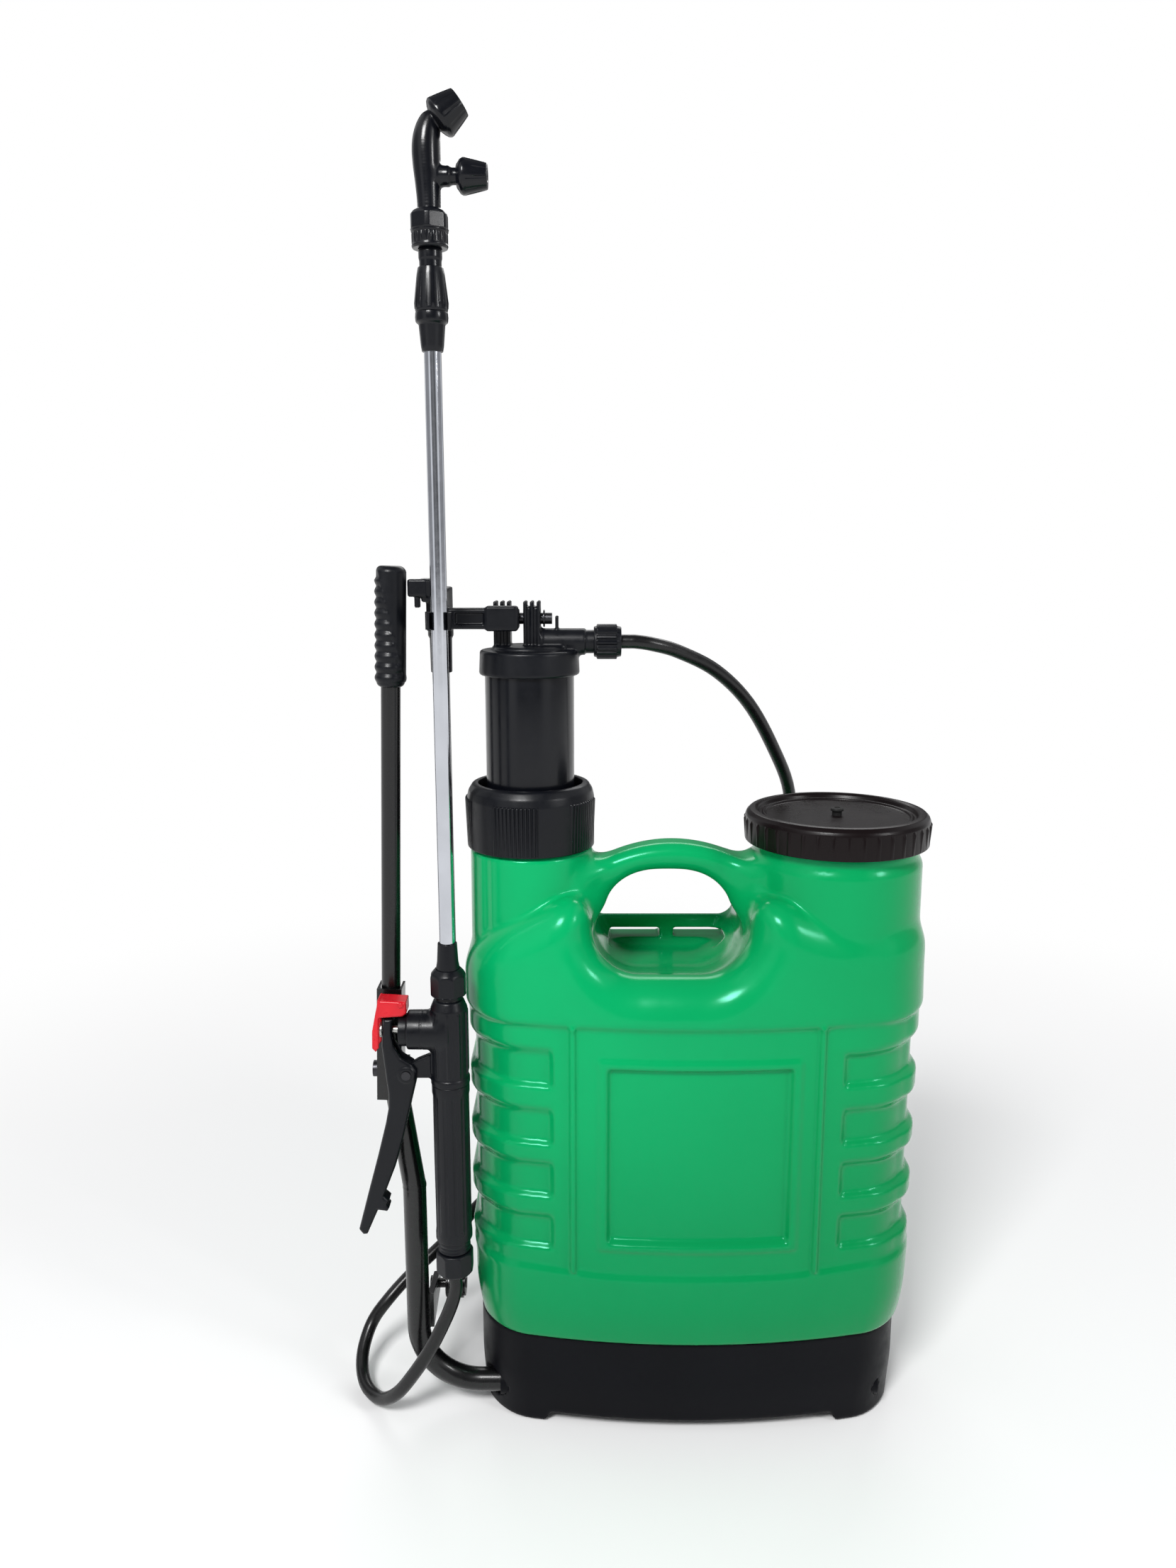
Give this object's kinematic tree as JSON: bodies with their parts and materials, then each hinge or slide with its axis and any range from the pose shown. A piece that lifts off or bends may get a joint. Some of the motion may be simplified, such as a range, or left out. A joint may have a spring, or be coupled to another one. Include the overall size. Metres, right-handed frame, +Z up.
{
  "type": "pump sprayer",
  "caption": "Lever-operated knapsack sprayer: green tank on a black base, piston pump with air chamber, folding lever, hose, trigger gun and two-nozzle lance.",
  "frame": {"origin": "on the floor under the middle of the tank, on the end face of the base's centre foot", "axes": "+X to the right seen from the outer side, +Y to the wearer's side, +Z up"},
  "size_m": [0.4795, 0.2124, 1.0205],
  "materials": {
    "tank_green": "blow-moulded polyethylene, satin gloss",
    "base_black": "moulded black plastic, satin",
    "black_plastic": "moulded black plastic, satin",
    "black_steel": "black enamel on steel tube",
    "zinc_steel": "zinc-plated steel",
    "lance_chrome": "polished stainless tube",
    "lock_red": "red moulded plastic",
    "natural_plastic": "natural plastic",
    "seal_rubber": "nitrile rubber",
    "valve_ball": "stainless balls",
    "insert_brass": "turned brass",
    "hose_rubber": "black reinforced hose"
  },
  "bodies": {
    "tank": {"tank_shell": "tank_green", "base_shell": "base_black", "base_screws": "zinc_steel", "pump_barrel": "natural_plastic", "barrel_seal": "seal_rubber", "foot_strainer": "natural_plastic", "crank_bushes": "natural_plastic", "hose_upper": "hose_rubber", "hose_lower": "hose_rubber"},
    "foot_ball": {"foot_valve_ball": "valve_ball"},
    "ring_nut": {"pump_ring_nut": "black_plastic"},
    "chamber": {"air_chamber": "black_plastic", "chamber_cap": "black_plastic", "chamber_cap_seal": "seal_rubber", "plunger_tube": "natural_plastic", "piston_body": "natural_plastic", "piston_cup": "seal_rubber", "outlet_nut": "black_plastic"},
    "outlet_ball": {"delivery_ball": "valve_ball"},
    "arm": {"pump_arm": "black_plastic", "arm_pin": "zinc_steel", "arm_pin_clips": "zinc_steel", "connecting_rod": "black_steel", "lance_clip": "black_plastic"},
    "crank": {"crank_tube": "black_steel", "crank_collars": "zinc_steel", "crank_pin": "zinc_steel", "rod_washer": "zinc_steel", "rod_clip": "zinc_steel", "fold_channel": "black_steel", "fold_bolt": "zinc_steel", "wing_nut": "zinc_steel"},
    "bar": {"lever_bar": "black_steel", "lever_grip": "black_plastic"},
    "gun": {"gun_hose_nut": "black_plastic", "gun_handle": "black_plastic", "gun_body": "black_plastic", "valve_cap": "black_plastic", "valve_spring": "zinc_steel", "trigger_pin": "zinc_steel", "lance_nut": "black_plastic", "lance_sleeve": "black_plastic", "lance_tube": "lance_chrome", "tip_sleeve": "black_plastic", "tip_nut": "black_plastic", "tip_neck": "black_plastic", "tip_union": "black_plastic"},
    "stem": {"valve_stem": "zinc_steel"},
    "trigger": {"trigger": "black_plastic"},
    "lock": {"trigger_lock": "lock_red"},
    "nozzle": {"nozzle_body": "black_plastic", "nozzle_inserts": "insert_brass"},
    "top_cap": {"nozzle_cap_top": "black_plastic"},
    "side_cap": {"nozzle_cap_side": "black_plastic"},
    "lid_inner": {"lid_gasket": "seal_rubber", "lid_vent": "seal_rubber"},
    "lid": {"filler_lid": "black_plastic"},
    "basket": {"filter_basket": "natural_plastic"}
  },
  "joints": [
    {"name": "lever_swing", "type": "hinge", "parent": "tank", "child": "crank", "pos_m": [0, -0.05, 0.0235], "axis": [-1, 0, 0], "range_deg": [0, 40], "deforming": ["hose_upper", "hose_lower"]},
    {"name": "lever_fold", "type": "hinge", "parent": "crank", "child": "bar", "pos_m": [-0.2448, -0.05, 0.308], "axis": [-1, 0, 0], "range_deg": [0, 80]},
    {"name": "pump_stroke", "type": "slide", "parent": "tank", "child": "chamber", "axis": [0, 0, 1], "range_m": [-0.0378, 0]},
    {"name": "arm_rock", "type": "hinge", "parent": "chamber", "child": "arm", "pos_m": [-0.132, -0.012, 0.666], "axis": [1, 0, 0], "range_deg": [0, 3.6]},
    {"name": "delivery_valve", "type": "slide", "parent": "chamber", "child": "outlet_ball", "axis": [0, 0, 1], "range_m": [0, 0.002]},
    {"name": "foot_valve", "type": "slide", "parent": "tank", "child": "foot_ball", "axis": [0, 0, 1], "range_m": [0, 0.003]},
    {"name": "ring_nut_turn", "type": "hinge", "parent": "tank", "child": "ring_nut", "pos_m": [-0.132, -0.012, 0.5], "axis": [0, 0, 1], "continuous": true},
    {"name": "lid_lift", "type": "slide", "parent": "tank", "child": "lid_inner", "axis": [0, 0, 1], "range_m": [0, 0.15]},
    {"name": "lid_turn", "type": "hinge", "parent": "lid_inner", "child": "lid", "pos_m": [0.1145, -0.012, 0.5], "axis": [0, 0, 1], "continuous": true},
    {"name": "basket_lift", "type": "slide", "parent": "tank", "child": "basket", "axis": [0, 0, 1], "range_m": [0, 0.076]},
    {"name": "lance_unclip", "type": "slide", "parent": "tank", "child": "gun", "axis": [0, -1, 0], "range_m": [0, 0.06]},
    {"name": "trigger_squeeze", "type": "hinge", "parent": "gun", "child": "trigger", "pos_m": [-0.2276, -0.075, 0.317], "axis": [0, -1, 0], "range_deg": [0, 12], "stiffness_Nm_per_rad": 4, "springref_deg": -1.72},
    {"name": "stem_pull", "type": "slide", "parent": "gun", "child": "stem", "axis": [-1, 0, 0], "range_m": [0, 0.0087]},
    {"name": "lock_swing", "type": "hinge", "parent": "trigger", "child": "lock", "pos_m": [-0.23, -0.075, 0.375], "axis": [0, 1, 0], "range_deg": [0, 30]},
    {"name": "nozzle_turn", "type": "hinge", "parent": "gun", "child": "nozzle", "pos_m": [-0.194, -0.075, 0.95], "axis": [0, 0, 1], "continuous": true},
    {"name": "top_cap_turn", "type": "hinge", "parent": "nozzle", "child": "top_cap", "pos_m": [-0.187, -0.075, 1.001], "axis": [0.809, 0, 0.5878], "continuous": true},
    {"name": "side_cap_turn", "type": "hinge", "parent": "nozzle", "child": "side_cap", "pos_m": [-0.175, -0.075, 0.966], "axis": [1, 0, 0], "continuous": true}
  ],
  "couplings": [
    {"joint": "pump_stroke", "follows": "lever_swing", "m_per_rad": -0.05395},
    {"joint": "arm_rock", "follows": "lever_swing", "ratio": 0.08746},
    {"joint": "stem_pull", "follows": "trigger_squeeze", "m_per_rad": 0.0408},
    {"joint": "basket_lift", "follows": "lid_lift", "ratio": 0.5}
  ]
}
